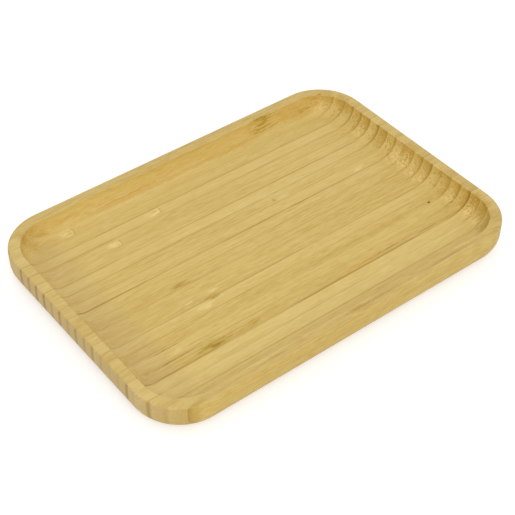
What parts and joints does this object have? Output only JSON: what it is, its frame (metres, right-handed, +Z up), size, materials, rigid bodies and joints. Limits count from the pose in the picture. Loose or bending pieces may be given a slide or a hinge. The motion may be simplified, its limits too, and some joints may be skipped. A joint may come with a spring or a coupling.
{
  "type": "bamboo tray",
  "caption": "Shallow rectangular bamboo tray with round corners, edge-glued strips along its length and a coved well inside a flat rim, for serving or keeping small things.",
  "frame": {"origin": "under the middle of the tray, on the surface that it stands on", "axes": "+X along the strips and the tray's length, +Y towards the back long side, +Z up out of the well"},
  "size_m": [0.2, 0.141, 0.015],
  "materials": {
    "bamboo": "sanded, with a thin satin oil finish"
  },
  "bodies": {
    "root": {"back_edge_strip": "bamboo", "strip_02": "bamboo", "strip_03": "bamboo", "strip_04": "bamboo", "strip_05": "bamboo", "strip_06": "bamboo", "strip_07": "bamboo", "strip_08": "bamboo", "strip_09": "bamboo", "strip_10": "bamboo", "strip_11": "bamboo", "strip_12": "bamboo", "strip_13": "bamboo", "strip_14": "bamboo", "strip_15": "bamboo", "strip_16": "bamboo", "strip_17": "bamboo", "strip_18": "bamboo", "strip_19": "bamboo", "strip_20": "bamboo", "strip_21": "bamboo", "front_edge_strip": "bamboo"}
  },
  "joints": []
}
